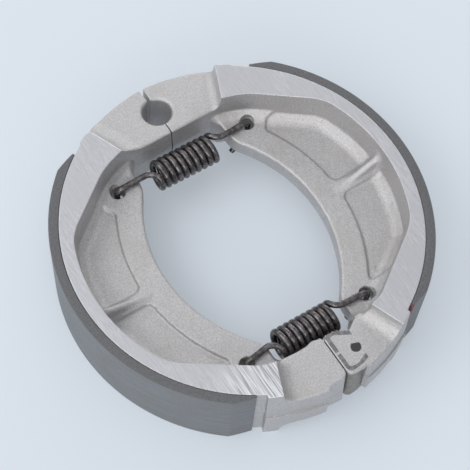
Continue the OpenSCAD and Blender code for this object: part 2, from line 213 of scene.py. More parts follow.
def half_height(x, y, z, outer):
    """How high the shoe is: full width in the middle of the arc, boss width at both ends and
    ramps between. The anchor's ramp is steep on one side and gentle on the other."""
    az = np.abs(z)
    face, low = az - HALF_W, az - BOSS_H
    ua = line(x, y, ANCHOR_RIM_X, ANCHOR_WALL_Y, -ANCHOR_LEAN)
    uc = line(x, y, CAM_RIM_X, RIM_WALL_Y, CAM_LEAN)
    slant = np.where(z > 0, STEEP_RAMP, GENTLE_RAMP) * face - ua
    slant = np.where(z > 0, slant, cut(slant, outer, END_CORNER_R))
    foot_r = np.where(z > 0, STEEP_FOOT_R, GENTLE_FOOT_R)
    anchor_end = join(low, cut(slant, face, RAMP_EDGE_R), foot_r)
    cam_end = join(low, cut(CAM_RAMP * face - uc, face, RAMP_EDGE_R), CAM_FOOT_R)
    return np.maximum(anchor_end, cam_end)


def block_wall(x):
    return CAM_WALL_Y - BLOCK_IN + FLARE * np.maximum(x - FLARE_FROM, 0)


def cam_block(x, y, az):
    bevel = line(x, y, CAM_RIM_X - BLOCK_END, CAM_WALL_Y, BLOCK_END_DEG)
    knob = KNOB_H * np.exp(-((x - KNOB_X) / KNOB_W) ** 2)
    block = np.maximum(cut(y - block_wall(x) - knob, bevel, BLOCK_EDGE_R), BLOCK_MID_Y - y)
    return cut(block - BLOCK_IN_DRAFT * (BOSS_H - az), az - BOSS_H, BLOCK_EDGE_R)


def web_plate(x, y, z, rho):
    """The web with its shallow pockets and a round mark of the mould's pin."""
    az = np.abs(z)
    edge = WEB_EDGE_R - np.hypot(x - WEB_EDGE_X, y) - WEB_DRAFT * np.maximum(WEB_H - az, 0)
    gap = np.where(y > 0, ANCHOR_GAP_X, CAM_GAP_X) - x
    half = WEB_H - POCKET_DEPTH * ramp(-pockets(x, y, z), -0.1, 0.7)
    mark = np.hypot(x - PIN_MARK[0], y - PIN_MARK[1]) - PIN_MARK_R
    half = half - np.where(z > 0, PIN_MARK_DEPTH, 0) * ramp(-mark, -0.15, 0.25)
    return cut(np.maximum(cut(edge, gap, WEB_CORNER_R), rho - WEB_TO_R), az - half, WEB_LIP_R)


def web_rib(x, y, az, rho):
    """The rib from the web up to the rim. Its two factors turn heights into distances."""
    ridge = WEB_H - 0.2 + (x - RIB_FOOT_X) * RIB_SLOPE
    side = (np.abs(y - RIB_Y) - RIB_HALF_W - RIB_DRAFT * (ridge - az)) * 0.96
    rib = cut(side, (az - ridge) * 0.9, RIB_EDGE_R)
    return np.maximum(np.maximum(rib, rho - RIB_TO_R), RIB_FOOT_X - 3 - x)


def openings(x, y, az):
    """The anchor bore with its bevels and reliefs, and the hooks' holes."""
    by = np.abs(y - ANCHOR_Y)
    bore = np.hypot(x, by) - BORE_R - np.maximum(az - BOSS_H + BORE_BEVEL, 0)
    vee = (by + VEE_SLOPE * np.abs(x) - VEE_TIP) / 1.17
    out = np.minimum(bore, np.maximum(vee, np.abs(x) - VEE_HALF_W))
    for hx, hy in (HOLE_A, HOLE_C):
        flare = HOLE_FLARE * np.clip(az - WEB_H + HOLE_BEVEL, 0, HOLE_BEVEL + 0.1)
        out = np.minimum(out, np.hypot(x - hx, y - hy) - HOLE_R - flare)
    return out


def nose(x, y, z, plated):
    """The nose's corners. They count only near the nose and lie deep inside elsewhere."""
    down, lower = (-z, PLATED_LOWER + PLATED_TILT * x) if plated else (z, 0)
    fall = NOSE_LOW_Y - lower - NOSE_DRAFT * (BOSS_H + down)
    low_side = np.where(x < NOSE_X, cut(SPLIT_X - x, fall - y, NOSE_R), DEEP)
    low_side = np.minimum(low_side, NOSE_X - x)
    if plated:
        notch = cut(y - block_wall(x) - 0.1, line(x, y, *NOTCH), NOTCH_R)
        high_side = np.maximum(plate_hull(x, y, z) - PLATE_SKIN, BLOCK_MID_Y - y)
        high_side = np.where(y > BLOCK_MID_Y, np.minimum(high_side, notch), DEEP)
    else:
        high_side = np.where(x < NOSE_X, cut(SPLIT_X - x, y - NOSE_HIGH_Y, NOSE_R), DEEP)
    corners = cut(np.maximum(low_side, high_side), np.abs(z) - BOSS_H, NOSE_EDGE_R)
    return np.where((y < BLOCK_TO_Y) & (x < BLOCK_TO_X), corners, DEEP)


def plate_seat(x, y, z):
    """The wear plate's seat, bridged by a thin neck, and the room before its face, which ends
    below a thin lip of the casting."""
    neck = np.minimum(NECK_HALF_W - np.abs(y - NECK_Y), z - BOSS_H + NECK_DEPTH)
    seat = np.maximum(plate_band(x, y, z), neck)
    below_lip = np.maximum(-plate_hull(x, y, z), z - BOSS_H + PLATE_LIP)
    room = np.maximum(below_lip, np.maximum(x - NOSE_X, y - BLOCK_TO_Y))
    return np.minimum(seat, room)


def casting(x, y, z, plated):
    """One shoe. The right one, plated, has the wear plate's seat in its nose."""
    az = np.abs(z)
    rho = np.hypot(x - CX, y - CY)
    ang = np.degrees(np.arctan2(x - CX, y - CY))
    outer = outer_wall(rho, ang, z, plated)
    ring = np.maximum(outer, -window(x, y) - WALL_DRAFT * (HALF_W - az))
    soft = 0.1 + 0.5 * (1 - ramp(az, 9.0, 11.5))
    body = cut(ring, half_height(x, y, z, outer), soft)
    body = np.minimum(body, cam_block(x, y, az))
    lean = SPLIT_X + np.maximum(y - ANCHOR_Y, 0) * math.tan(math.radians(SPLIT_LEAN))
    body = cut(body, lean - x, SPLIT_EDGE_R)

    # Web with a bevel along its foot, and the rib
    web = web_plate(x, y, z, rho)
    foot = (body + web - FOOT_BEVEL) * math.sqrt(0.5)
    body = join(join(body, foot, FOOT_R), web, WEB_FILLET)
    body = join(body, web_rib(x, y, az, rho), RIB_FILLET)

    # The skin of a casting is never quite even; only the machined faces are flat
    swell = np.sin(1.9 * x + 0.7 * y) * np.sin(1.6 * y - 1.1 * z)
    swell = swell + np.sin(2.3 * z + 0.9 * x) * np.sin(1.3 * x - 1.7 * y)
    body = body + SKIN_WAVE * swell * (1 - ramp(az, 11.2, 12.2))

    body = np.maximum(body, -openings(x, y, az))
    body = np.maximum(body, nose(x, y, z, plated))
    if plated:
        body = np.maximum(body, -plate_seat(x, y, z))
    return body


def steps(low, high, h, marks=()):
    """Coordinates along one axis, with steps of h and finer ones between two marks."""
    if not marks:
        return np.linspace(low, high, math.ceil((high - low) / h) + 1)
    a, b, fine = marks
    parts = [steps(low, a, h), steps(a, b, fine), steps(b, high, h)]
    return np.concatenate([parts[0], parts[1][1:], parts[2][1:]])


def settle(v):
    """Turns the sign of single grid points until no face of a cell is crossed on all four of
    its edges, so that every edge of the mesh has two faces."""
    for _ in range(12):
        flat = v.ravel()
        index = np.arange(v.size).reshape(v.shape)
        changed = 0
        for a in range(3):
            b, c = (a + 1) % 3, (a + 2) % 3
            near, far = slice(0, -1), slice(1, None)
            corners = []
            for sb, sc in ((near, near), (far, near), (far, far), (near, far)):
                cell = [slice(None)] * 3
                cell[b], cell[c] = sb, sc
                corners.append(index[tuple(cell)].ravel())
            corners = np.stack(corners, 1)
            inside = flat[corners] < 0
            alike = (inside[:, 0] == inside[:, 2]) & (inside[:, 1] == inside[:, 3])
            corners = corners[alike & (inside[:, 0] != inside[:, 1])]
            weak = corners[np.arange(len(corners)), np.argmin(np.abs(flat[corners]), 1)]
            weak = np.unique(weak)
            flat[weak] = np.where(flat[weak] < 0, 1e-6, -1e-6)
            changed += len(weak)
        if not changed:
            break
    return v


def crossings(f, v, axes, a):
    """Where the surface crosses the grid's edges along axis a: the edges' first grid points,
    the crossings, the normals there, and whether each edge starts inside."""
    b, c = (a + 1) % 3, (a + 2) % 3
    lo = [slice(None)] * 3
    hi = [slice(None)] * 3
    lo[a], hi[a] = slice(0, -1), slice(1, None)
    va, vb = v[tuple(lo)], v[tuple(hi)]
    last = np.array(v.shape) - 1
    g = np.argwhere((va < 0) != (vb < 0))
    g = g[(g[:, b] > 0) & (g[:, c] > 0) & (g[:, b] < last[b]) & (g[:, c] < last[c])]
    f0, f1 = va[tuple(g.T)], vb[tuple(g.T)]
    inside = f0 < 0
    p0 = np.stack([axes[k][g[:, k]] for k in range(3)], 1)
    h = np.diff(axes[a])[g[:, a]]
    t0, t1 = np.zeros(len(g)), np.ones(len(g))
    for _ in range(4):
        margin = 0.02 * (t1 - t0)
        t = np.clip(t0 + (t1 - t0) * f0 / (f0 - f1), t0 + margin, t1 - margin)
        p = p0.copy()
        p[:, a] += h * t
        fm = f(p[:, 0], p[:, 1], p[:, 2])
        same = (fm < 0) == (f0 < 0)
        t0, f0 = np.where(same, t, t0), np.where(same, fm, f0)
        t1, f1 = np.where(same, t1, t), np.where(same, f1, fm)
    p = p0.copy()
    p[:, a] += h * np.where(np.abs(f0) < np.abs(f1), t0, t1)
    normal = np.empty_like(p)
    for k in range(3):
        shift = 0.01 * (np.arange(3) == k)
        normal[:, k] = f(*(p + shift).T) - f(*(p - shift).T)
    normal /= np.linalg.norm(normal, axis=1, keepdims=True) + 1e-12
    return g, p, normal, inside


def meeting_points(ids, pts, nrm, axes):
    """Each crossed cell, and in it the point nearest to the tangent planes on its edges."""
    cells = [len(a) - 1 for a in axes]
    cell, inv = np.unique(ids, return_inverse=True)
    m = len(cell)
    count = np.bincount(inv, minlength=m)
    mean = np.stack([np.bincount(inv, pts[:, k], m) / count for k in range(3)], 1)
    d = np.einsum("ij,ij->i", nrm, pts - mean[inv])
    ata = np.empty((m, 3, 3))
    atb = np.empty((m, 3))
    for i in range(3):
        atb[:, i] = np.bincount(inv, nrm[:, i] * d, m)
        for j in range(3):
            ata[:, i, j] = np.bincount(inv, nrm[:, i] * nrm[:, j], m)
    w, u = np.linalg.eigh(ata)
    # A direction in which the planes hardly differ doesn't count, or flat cells would wander
    good = w > 0.08 * w[:, -1:]
    s = np.einsum("nij,ni->nj", u, atb)
    s = np.where(good, s / np.where(good, w, 1), 0)
    move = np.einsum("nij,nj->ni", u, s)
    at = np.stack([cell // (cells[1] * cells[2]), cell // cells[2] % cells[1], cell % cells[2]], 1)
    lo = np.stack([axes[k][at[:, k]] for k in range(3)], 1)
    size = np.stack([np.diff(axes[k])[at[:, k]] for k in range(3)], 1)
    return cell, np.clip(mean + move, lo + 0.01 * size, lo + 0.99 * size)


def surface(f, axes):
    """Surface of a distance function as quads, with its sharp edges kept: one point in each
    crossed cell, and one quad round each crossed edge."""
    v = f(axes[0][:, None, None], axes[1][None, :, None], axes[2][None, None, :])
    v = np.broadcast_to(v, [len(a) for a in axes]).copy()
    v[v == 0] = 1e-9
    v = settle(v)
    cells = np.array(v.shape) - 1
    ids, quads, pts, nrm = [], [], [], []
    for a in range(3):
        b, c = (a + 1) % 3, (a + 2) % 3
        g, p, normal, inside = crossings(f, v, axes, a)
        round_edge = []
        for db, dc in ((1, 1), (0, 1), (0, 0), (1, 0)):
            q = g.copy()
            q[:, b] -= db
            q[:, c] -= dc
            round_edge.append((q[:, 0] * cells[1] + q[:, 1]) * cells[2] + q[:, 2])
        ids += round_edge
        pts += [p] * 4
        nrm += [normal] * 4
        quad = np.stack(round_edge, 1)
        quads.append(np.where(inside[:, None], quad, quad[:, ::-1]))
    ids, pts, nrm = np.concatenate(ids), np.concatenate(pts), np.concatenate(nrm)
    cell, verts = meeting_points(ids, pts, nrm, axes)
    return verts, np.searchsorted(cell, np.concatenate(quads))


def to_row(verts):
    return (np.asarray(verts) - (0, ANCHOR_Y, 0)) * MM


def put(name, mesh, sharp_deg):
    """Adds the mesh to the scene, with smooth shading up to an angle of sharp_deg."""
    mesh.validate()
    mesh.shade_smooth()
    mesh.set_sharp_from_angle(angle=math.radians(sharp_deg))
    o = bpy.data.objects.new(name, mesh)
    bpy.context.collection.objects.link(o)
    return o


def quad_mesh(name, verts, faces, sharp_deg=32):
    mesh = bpy.data.meshes.new(name)
    faces = np.asarray(faces, dtype=np.int32)
    mesh.vertices.add(len(verts))
    mesh.vertices.foreach_set("co", np.asarray(verts, np.float32).ravel())
    mesh.loops.add(faces.size)
    mesh.loops.foreach_set("vertex_index", faces.ravel())
    mesh.polygons.add(len(faces))
    mesh.polygons.foreach_set("loop_start", np.arange(0, faces.size, faces.shape[1], dtype=np.int32))
    mesh.update(calc_edges=True)
    return put(name, mesh, sharp_deg)


def tube_mesh(name, rings, sharp_deg):
    """A closed tube through rings of as many points each, with a cap at both ends."""
    n, m = len(rings), len(rings[0])
    k = np.arange(n - 1)[:, None] * m
    j = np.arange(m)[None, :]
    j2 = (j + 1) % m
    faces = np.stack([k + j, k + m + j, k + m + j2, k + j2], 2).reshape(-1, 4).tolist()
    faces.append(list(range(m)))
    faces.append([(n - 1) * m + i for i in range(m)][::-1])
    mesh = bpy.data.meshes.new(name)
    mesh.from_pydata(to_row(rings).reshape(-1, 3).tolist(), [], faces)
    bm = bmesh.new()
    bm.from_mesh(mesh)
    bmesh.ops.recalc_face_normals(bm, faces=bm.faces)
    bm.to_mesh(mesh)
    bm.free()
    return put(name, mesh, sharp_deg)


def ease_rims(mesh):
    """A narrow chamfer on the edges between the machined faces and the steep walls below."""
    bm = bmesh.new()
    bm.from_mesh(mesh)
    near_top, steep, flat = (HALF_W - 0.15) * MM, 0.6, 0.98
    edges = []
    for e in bm.edges:
        if all(abs(v.co.z) > near_top for v in e.verts) and len(e.link_faces) == 2:
            up = sorted(abs(f.normal.z) for f in e.link_faces)
            if up[0] < steep and up[1] > flat:
                edges.append(e)
    bmesh.ops.bevel(bm, geom=edges, offset=RIM_EASE * MM, segments=2, profile=0.5,
                    affect="EDGES", clamp_overlap=True)
    bm.to_mesh(mesh)
    bm.free()
    mesh.shade_smooth()
    mesh.set_sharp_from_angle(angle=math.radians(50))


# Grid steps of the castings, and finer ones at the parting plane and the nose's low corners
VOXEL = 0.46
FINE = 0.22


def shoe(name, plated, turned):
    axes = (steps(-0.9, 51.6, VOXEL, (-0.5, 1.9, FINE)),
            steps(-54.9, 54.9, VOXEL, (-52.6, -49.6, FINE)),
            steps(-13.4, 13.4, VOXEL))
    verts, faces = surface(lambda x, y, z: casting(x, y, z, plated), axes)
    verts[:, 2] = np.clip(verts[:, 2], -HALF_W, HALF_W)
    if turned:
        verts = verts * (-1, 1, -1)
    o = quad_mesh(name, to_row(verts), faces)
    ease_rims(o.data)
    return o


def nose_plate(name):
    h = 0.24
    axes = steps(0.1, 7.9, h), steps(-53.6, -38.2, h), steps(-8.2, 8.2, h)
    verts, faces = surface(wear_plate, axes)
    return quad_mesh(name, to_row(verts), faces)


# Lining: a strip bonded to the rim, bevelled at both ends, its edges a little chipped
LINING_FROM, LINING_TO, LINING_SLIP = 36.5, 149.5, 0.7
LINING_BEVEL, LINING_TIP_T, LINING_GLUE = 6.5, 0.7, 0.03
LINING_EDGE, LINING_CHIP = 0.14, 0.09


def chips(a, b, seed):
    rng = np.random.default_rng(seed)
    out = np.zeros(np.broadcast(a, b).shape)
    waves = 9
    for _ in range(waves):
        k = rng.uniform(0.5, 4.5, 2)
        p = rng.uniform(0, 6.28, 2)
        out = out + np.sin(a * k[0] + p[0]) * np.sin(b * k[1] + p[1])
    return out / waves


def lining_section():
    """Outline of a section, from its inner lower corner outward and back. Each point is its
    share of the thickness, its height, and how far in it lies in radius and in height."""
    c = LINING_EDGE
    below = [(1.0, -1, c * 2.2, 0.0), (1.0, -1, c * 0.6, c * 0.5), (1.0, -1, 0.0, c * 2.0)]
    above = [(t, 1, dr, dz) for t, h, dr, dz in below[::-1]]
    middle = [(1.0, f, 0.0, 0.0) for f in np.linspace(-0.9, 0.9, 13)]
    return [(0.0, -1, 0.0, 0.0)] + below + middle + above + [(0.0, 1, 0.0, 0.0)]


def lining(name, turned):
    n = 520
    slip = -LINING_SLIP if turned else LINING_SLIP
    start, stop = LINING_FROM + slip, LINING_TO + slip
    bevel = math.degrees(LINING_BEVEL / LINING_R)
    ends = np.degrees(np.array([0, 0.15, 0.4]) / LINING_R)
    ang = np.concatenate([start + ends, np.linspace(start + 0.8, stop - 0.8, n), stop - ends[::-1]])
    a = np.radians(ang)
    full = np.clip(np.minimum(ang - start, stop - ang) / bevel, 0, 1)
    top = RIM_R + LINING_TIP_T + (LINING_R - RIM_R - LINING_TIP_T) * full
    inner = RIM_R + LINING_GLUE
    section = lining_section()
    rings = np.zeros((len(ang), len(section), 3))
    for j, (t, h, dr, dz) in enumerate(section):
        r = inner + (top - inner) * t - dr
        if abs(h) == 1 and t == 1:
            r = r - np.abs(LINING_CHIP * chips(ang * 3.1, np.full_like(ang, h * 7.0 + j), 11 + j))
        z = np.full_like(ang, h * HALF_W - math.copysign(dz, h))
        rings[:, j] = np.stack([CX + r * np.sin(a), CY + r * np.cos(a), z], 1)
    if turned:
        rings = rings * (-1, 1, -1)
    return tube_mesh(name, rings, 24)


# Springs: close coils whose ends run level to the webs and hook down through the holes
WIRE_R, WIRE_END_EASE, COIL_R, COIL_LIFT = 0.9, 0.14, 3.75, 0.95
HOOK_Z, HOOK_BEND_R, HOOK_OFF = 3.8, 2.2, 0.3
HOOK_TAIL_DEG, HOOK_TAIL, HOOK_LEVEL, HOOK_SIDE = 55.0, 6.3, 3.3, 0.4
END_REACH, END_STEPS = 1.6, 12
START_DEG, END_DEG = 140.0, 40.0

# Each spring's turns, pitch and shift along X, and how far its coil's two ends lie off the
# line between the holes, as (left, right), and the slant of its tails
ANCHOR_COIL = (10, 1.95, 0.1, (-0.35, -0.75), 0.16)
CAM_COIL = (10, 1.82, -0.3, (0.6, 0.1), 0.03)


def bezier(a, b, c, d, n):
    t = (np.arange(1, n) / n)[:, None]
    u = 1 - t
    return u ** 3 * a + 3 * u * u * t * b + 3 * u * t * t * c + t ** 3 * d


def hook(hole, from_x, sign, off, slant):
    """One end of a spring: level up to the hole, down through it and back in a slanting tail."""
    centre, drop = hole[0] + HOOK_OFF - HOOK_BEND_R, HOOK_Z - HOOK_BEND_R
    over = np.radians(np.linspace(90, 0, 13))
    under = np.radians(np.linspace(0, -HOOK_TAIL_DEG, 9))
    top = np.stack([centre + HOOK_BEND_R * np.cos(over), drop + HOOK_BEND_R * np.sin(over)], 1)
    low = np.stack([centre + HOOK_BEND_R * np.cos(under), -drop + HOOK_BEND_R * np.sin(under)], 1)
    way = np.array([math.sin(math.radians(HOOK_TAIL_DEG)), math.cos(math.radians(HOOK_TAIL_DEG))])
    tail = low[-1] - way * np.linspace(0, HOOK_TAIL, 7)[1:, None]
    lead = np.linspace([from_x, HOOK_Z], top[0], 6)[:-1]
    p = np.concatenate([lead, top, low, tail])
    back = hole[0] + HOOK_OFF - p[:, 0]
    reach = hole[0] + HOOK_OFF - from_x
    shift = np.where(p[:, 1] > 0, off * back / reach, -slant * back)
    return np.stack([sign * p[:, 0], hole[1] + shift, p[:, 1]], 1)


def spring_path(hole, coil):
    """The wire's middle line: hook, lead, coil, lead and hook."""
    turns, pitch, shift, off, slant = coil
    half = pitch * turns / 2
    sweep = 360 * turns + END_DEG - START_DEG
    n = int(sweep / 360 * (40))
    s = np.linspace(0, 1, n)
    a = np.radians(START_DEG + sweep * s)
    axis_y = hole[1] + off[0] + (off[1] - off[0]) * s
    turn = np.stack([shift - half + 2 * half * s, axis_y + COIL_R * np.cos(a),
                     COIL_LIFT + COIL_R * np.sin(a)], 1)
    left = hook(hole, half - shift + HOOK_LEVEL, -1, off[0] + HOOK_SIDE, slant)
    right = hook(hole, half + shift + HOOK_LEVEL, 1, off[1] + HOOK_SIDE, slant)
    sa, ea = math.radians(START_DEG), math.radians(END_DEG)
    out_l = END_REACH * np.array([0, math.sin(sa), -math.cos(sa)])
    out_r = END_REACH * np.array([0, -math.sin(ea), math.cos(ea)])
    along = np.array([END_REACH, 0, 0])
    lead_in = bezier(left[0], left[0] + along, turn[0] + out_l, turn[0], END_STEPS)
    lead_out = bezier(turn[-1], turn[-1] + out_r, right[0] - along, right[0], END_STEPS)
    return np.concatenate([left[::-1], lead_in, turn, lead_out, right])


def wire(name, path, sides=14):
    """A round wire along the path, its cut ends a little bevelled."""
    keep = np.concatenate([[True], np.linalg.norm(np.diff(path, axis=0), axis=1) > 1e-3])
    path = path[keep]
    n = len(path)
    tan = np.gradient(path, axis=0)
    tan /= np.linalg.norm(tan, axis=1, keepdims=True)
    side = np.array([0.0, 1.0, 0.0])
    rings = []
    for i in range(n):
        side = side - tan[i] * (side @ tan[i])
        side = side / np.linalg.norm(side)
        up = np.cross(tan[i], side)
        a = 2 * np.pi * np.arange(sides) / sides
        r = WIRE_R - (WIRE_END_EASE if i in (0, n - 1) else 0)
        rings.append(path[i] + r * (np.cos(a)[:, None] * side + np.sin(a)[:, None] * up))
    return tube_mesh(name, np.array(rings), 40)


# Marks on the right shoe, in the row frame: an ink dot that is flat on one side, and a dab
# of red paint on the casting and the lining's end
INK_AT, INK_R, INK_FLAT = (6.25, -90.82), 1.5, -82.05
RED_AT, RED_FROM_Z = (24.2, -91.5), HALF_W - 5.5


# Materials
def material(name):
    mat = bpy.data.materials.new(name)
    mat.use_nodes = True
    nt = mat.node_tree
    return mat, nt, nt.nodes["Principled BSDF"]


class Nodes:
    """Short calls for the nodes that the materials share. Positions are in millimetres."""

    def __init__(self, nt):
        self.nt = nt
        co = nt.nodes.new("ShaderNodeTexCoord")
        up = nt.nodes.new("ShaderNodeVectorMath")
        up.operation = "SCALE"
        up.inputs["Scale"].default_value = 1 / MM
        nt.links.new(co.outputs["Object"], up.inputs[0])
        self.pos = up.outputs[0]
        sep = nt.nodes.new("ShaderNodeSeparateXYZ")
        nt.links.new(self.pos, sep.inputs[0])
        self.x, self.y, self.z = sep.outputs

    def feed(self, socket, value):
        if isinstance(value, bpy.types.NodeSocket):
            self.nt.links.new(value, socket)
        elif value is not None:
            socket.default_value = value

    def math(self, op, a, b=None, clamp=False):
        n = self.nt.nodes.new("ShaderNodeMath")
        n.operation = op
        n.use_clamp = clamp
        self.feed(n.inputs[0], a)
        self.feed(n.inputs[1], b)
        return n.outputs[0]

    def span(self, v, lo, hi, to_lo=0.0, to_hi=1.0):
        n = self.nt.nodes.new("ShaderNodeMapRange")
        n.interpolation_type = "SMOOTHSTEP"
        for i, x in enumerate((v, lo, hi, to_lo, to_hi)):
            self.feed(n.inputs[i], x)
        return n.outputs[0]

    def turned(self, deg, scale):
        """Positions turned about Z by deg and stretched, for lines and streaks."""
        n = self.nt.nodes.new("ShaderNodeMapping")
        self.feed(n.inputs["Vector"], self.pos)
        n.inputs["Rotation"].default_value = (0, 0, math.radians(deg))
        n.inputs["Scale"].default_value = scale
        return n.outputs[0]

    def noise(self, scale, detail=3.0, rough=0.55, vec=None):
        n = self.nt.nodes.new("ShaderNodeTexNoise")
        self.feed(n.inputs["Vector"], vec or self.pos)
        n.inputs["Scale"].default_value = scale
        n.inputs["Detail"].default_value = detail
        n.inputs["Roughness"].default_value = rough
        return n.outputs[0]

    def cells(self, scale):
        n = self.nt.nodes.new("ShaderNodeTexVoronoi")
        self.feed(n.inputs["Vector"], self.pos)
        n.inputs["Scale"].default_value = scale
        return n.outputs["Distance"]

    def mix(self, f, a, b):
        n = self.nt.nodes.new("ShaderNodeMix")
        n.data_type = "RGBA"
        self.feed(n.inputs[0], f)
        for i, v in ((6, a), (7, b)):
            self.feed(n.inputs[i], (*v, 1.0) if isinstance(v, tuple) else v)
        return n.outputs[2]

    def spot(self, x, y, r, soft, wobble=0.25, z_above=None):
        """1 inside a rough round mark at x, y in the row frame, in millimetres."""
        dx = self.math("SUBTRACT", self.x, x)
        dy = self.math("SUBTRACT", self.y, y)
        squares = self.math("ADD", self.math("MULTIPLY", dx, dx), self.math("MULTIPLY", dy, dy))
        uneven = self.math("MULTIPLY", self.math("SUBTRACT", self.noise(0.9), 0.5), wobble * 4)
        d = self.math("ADD", self.math("SQRT", squares), uneven)
        m = self.span(d, r + soft, r - soft)
        if z_above is not None:
            m = self.math("MULTIPLY", m, self.span(self.z, z_above - 0.1, z_above))
        return m

    def bump(self, height, strength, distance):
        n = self.nt.nodes.new("ShaderNodeBump")
        n.inputs["Strength"].default_value = strength
        n.inputs["Distance"].default_value = distance * MM
        self.feed(n.inputs["Height"], height)
        return n.outputs[0]


def sanded(n, plated):
    """Colour of the machined faces and their sanding lines, with deep scores at the left
    shoe's cam end."""
    lines = n.noise(1.0, 5, 0.75, n.turned(17, (3.4, 0.32, 1)))
    broad = n.noise(1.0, 3, 0.6, n.turned(24, (1.3, 0.045, 1)))
    patch = n.noise(0.11, 2, 0.5)
    strength = n.span(patch, 0.35, 0.65, 0.3, 1.0)
    strokes = n.math("MULTIPLY", strength, n.span(lines, 0.36, 0.66, -0.5, 0.5))
    strokes = n.math("ADD", strokes, 0.55, clamp=True)
    colour = n.mix(strokes, (0.48, 0.48, 0.495), (0.66, 0.66, 0.68))
    colour = n.mix(n.span(broad, 0.4, 0.75, 0, 0.3), colour, (0.66, 0.665, 0.685))
    if not plated:
        deep = n.math("MULTIPLY", n.span(n.y, -76, -83), n.span(n.x, -38, -24))
        scored = n.noise(1.0, 3, 0.6, n.turned(0, (4.2, 0.1, 1)))
        bright = n.math("MULTIPLY", deep, n.span(scored, 0.45, 0.6))
        dark = n.math("MULTIPLY", deep, n.span(scored, 0.47, 0.36))
        colour = n.mix(bright, colour, (0.88, 0.88, 0.90))
        colour = n.mix(dark, colour, (0.36, 0.36, 0.375))
    return colour, lines, patch


def red_paint(n, colour, r, strength):
    red = n.spot(*RED_AT, r, 0.3, 0.3, RED_FROM_Z)
    return n.mix(n.math("MULTIPLY", red, strength), colour, (0.16, 0.02, 0.03))


def ink_dot(n, colour):
    ink = n.spot(*INK_AT, INK_R, 0.12, 0.12, BOSS_H - 0.5)
    along = n.math("ADD", n.math("MULTIPLY", n.x, 0.35), n.math("MULTIPLY", n.y, 0.94))
    ink = n.math("MULTIPLY", ink, n.span(along, INK_FLAT + 0.1, INK_FLAT - 0.1))
    return n.mix(n.math("MULTIPLY", ink, 0.93), colour, (0.035, 0.03, 0.035))


def alloy(name, plated):
    mat, nt, bsdf = material(name)
    n = Nodes(nt)
    az = n.math("ABSOLUTE", n.z)
    machined = n.span(az, HALF_W - 0.08, HALF_W - 0.02)
    raw = n.math("SUBTRACT", 1.0, machined)

    # Sand-like grain of the casting, with a few pits, slow stains and a painted shadow along the
    # mould's parting step on the cam block
    grain = n.noise(2.6, 4, 0.65)
    fine = n.noise(7.0, 2, 0.6)
    stain = n.noise(0.09, 3, 0.6)
    pits = n.span(n.cells(0.9), 0.16, 0.05)
    cast = n.mix(n.span(grain, 0.3, 0.7), (0.42, 0.41, 0.41), (0.63, 0.62, 0.62))
    cast = n.mix(n.span(stain, 0.45, 0.7, 0, 0.35), cast, (0.47, 0.44, 0.42))
    cast = n.mix(n.math("MULTIPLY", pits, 0.5), cast, (0.24, 0.23, 0.225))
    # Painted shadow: a thin dark line at the mould's parting plane on the cam block, standing in for
    # the shade at the step in its wall
    mould_z = MOULD_Z if plated else -MOULD_Z
    parting_shadow = n.math("ABSOLUTE", n.math("SUBTRACT", n.z, mould_z))
    parting_shadow = n.math("MULTIPLY", n.span(parting_shadow, 0.22, 0.08), n.span(n.y, -84, -88))
    cast = n.mix(n.math("MULTIPLY", parting_shadow, 0.45), cast, (0.2, 0.19, 0.19))

    # Machined faces, a painted highlight along their eased edges, and the marks
    ground, lines, patch = sanded(n, plated)
    colour = n.mix(machined, cast, ground)
    eased_from = HALF_W - RIM_EASE
    painted_edge_highlight = n.math("MULTIPLY", n.span(az, eased_from - 0.06, eased_from), raw)
    # Painted highlight: the eased edges just below the machined faces get a light colour, and a lower
    # roughness
    colour = n.mix(painted_edge_highlight, colour, (0.82, 0.815, 0.82))
    if plated:
        colour = red_paint(n, ink_dot(n, colour), 1.2, 0.7)
    n.feed(bsdf.inputs["Base Color"], colour)

    rough_cast = n.span(grain, 0.3, 0.7, 0.42, 0.54)
    rough_mach = n.math("ADD", n.span(lines, 0.3, 0.7, 0.44, 0.3), n.span(patch, 0.3, 0.7, 0.0, 0.08))
    rough = n.math("ADD", n.math("MULTIPLY", machined, rough_mach), n.math("MULTIPLY", raw, rough_cast))
    rough = n.math("SUBTRACT", rough, n.math("MULTIPLY", painted_edge_highlight, 0.2))
    n.feed(bsdf.inputs["Roughness"], rough)
    bsdf.inputs["Metallic"].default_value = 0.8
    bsdf.inputs["Specular IOR Level"].default_value = 0.5

    height_cast = n.math("ADD", n.math("MULTIPLY", grain, 0.6), n.math("MULTIPLY", fine, 0.4))
    height_cast = n.math("SUBTRACT", height_cast, n.math("MULTIPLY", pits, 0.5))
    height_mach = n.math("MULTIPLY", n.math("MULTIPLY", lines, machined), 0.35)
    height = n.math("ADD", height_mach, n.math("MULTIPLY", height_cast, raw))
    n.feed(bsdf.inputs["Normal"], n.bump(height, 0.7, 0.24))
    return mat


